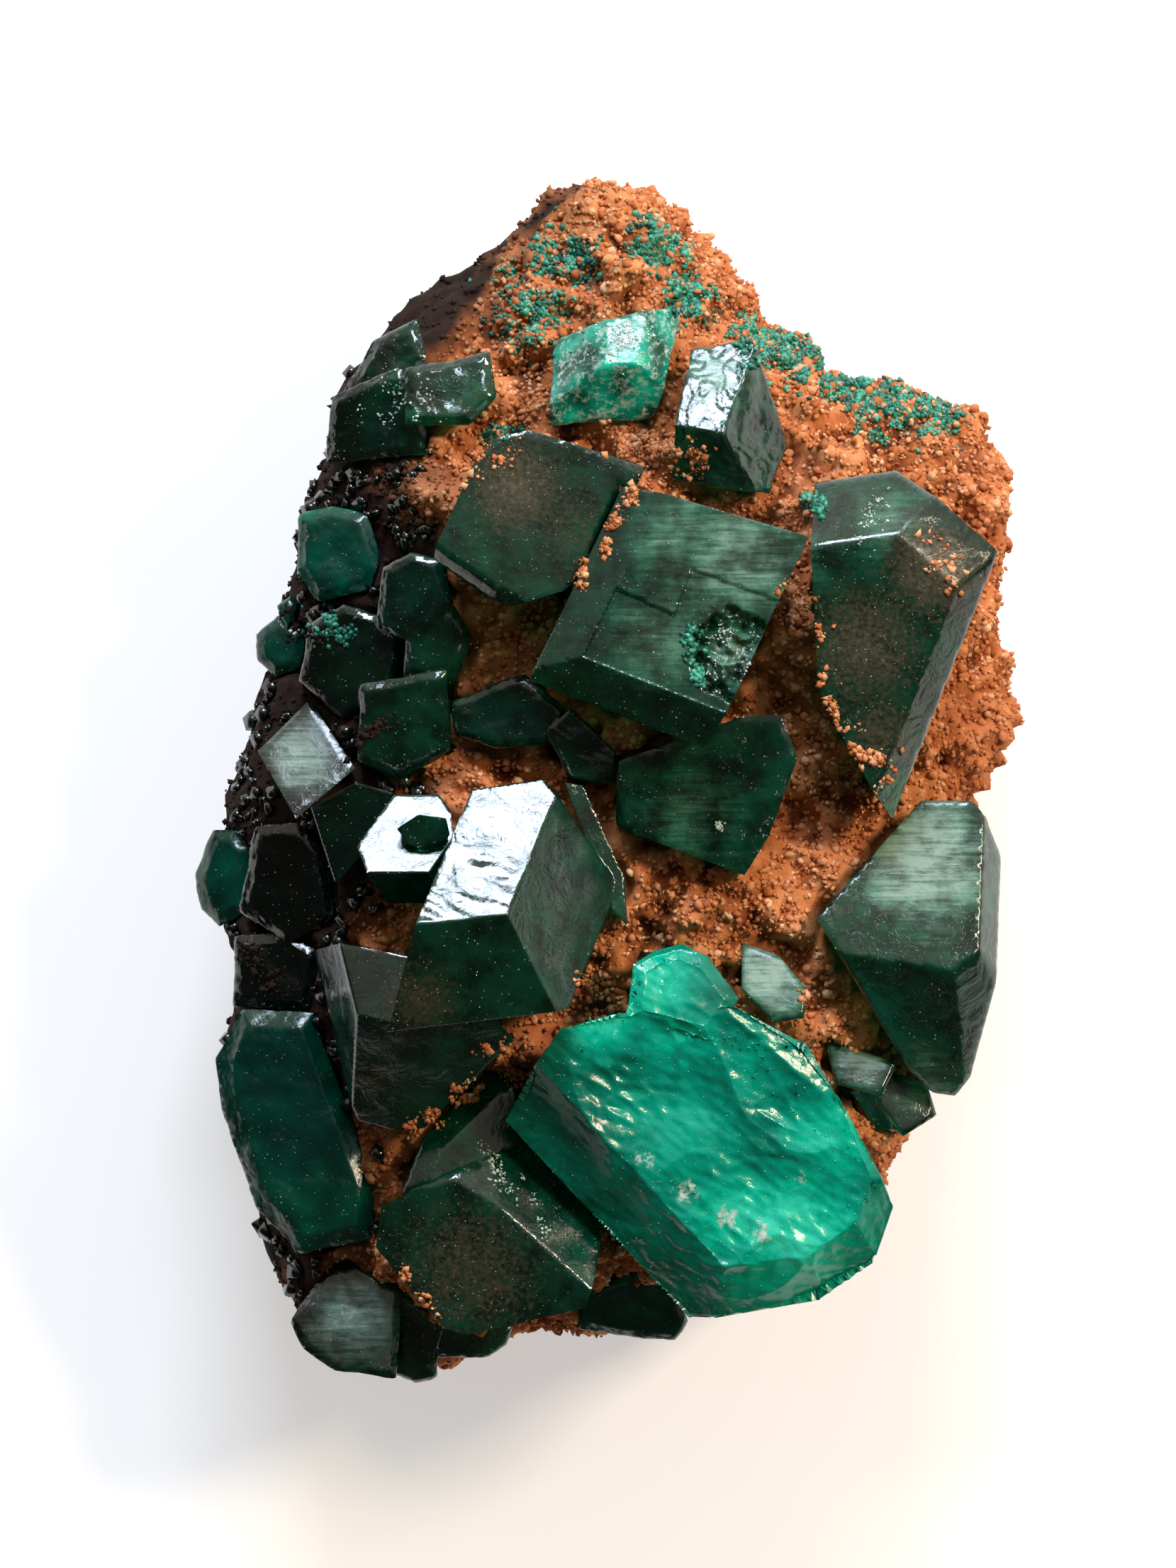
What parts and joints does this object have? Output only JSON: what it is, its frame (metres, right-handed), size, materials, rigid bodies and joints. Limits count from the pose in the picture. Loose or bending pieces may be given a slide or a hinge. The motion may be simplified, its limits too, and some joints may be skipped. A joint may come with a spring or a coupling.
{
  "type": "dioptase specimen",
  "caption": "Natural mineral specimen: glassy deep-green dioptase crystals and a fractured emerald one on a rusty granular rock with a flat underside.",
  "frame": {"origin": "middle of the bounding box at the flat underside", "axes": "+Z out of the crystal side, +Y along the longest extent towards the pointed end, +X to the right as seen from the crystal side"},
  "size_m": [0.0244, 0.0358, 0.0167],
  "materials": {
    "dioptase": "glassy, clear to dusty flat crystal faces",
    "fractured_dioptase": "glassy, broken surface with bright inner cracks",
    "rusty_rock": "matt, granular, rust brown"
  },
  "bodies": {
    "root": {"matrix": "rusty_rock", "centre_crystal": "dioptase", "dusty_crystal": "dioptase", "right_crystal": "dioptase", "lower_crystal": "dioptase", "mirror_cluster": "dioptase", "fractured_crystal": "fractured_dioptase", "bottom_crystal": "dioptase", "right_edge_cluster": "dioptase", "right_small_cluster": "dioptase", "small_grey_crystal": "dioptase", "upper_crystal": "dioptase", "upper_pale_crystal": "dioptase", "upper_left_cluster": "dioptase", "left_green_crystal": "dioptase", "left_round_crystal": "dioptase", "left_lower_cluster": "dioptase", "left_edge_crystal": "dioptase", "left_grey_crystal": "dioptase", "left_dark_cluster": "dioptase", "middle_cluster": "dioptase", "lower_left_mass": "dioptase", "foot_cluster": "dioptase", "bottom_green_crystal": "dioptase"}
  },
  "joints": []
}
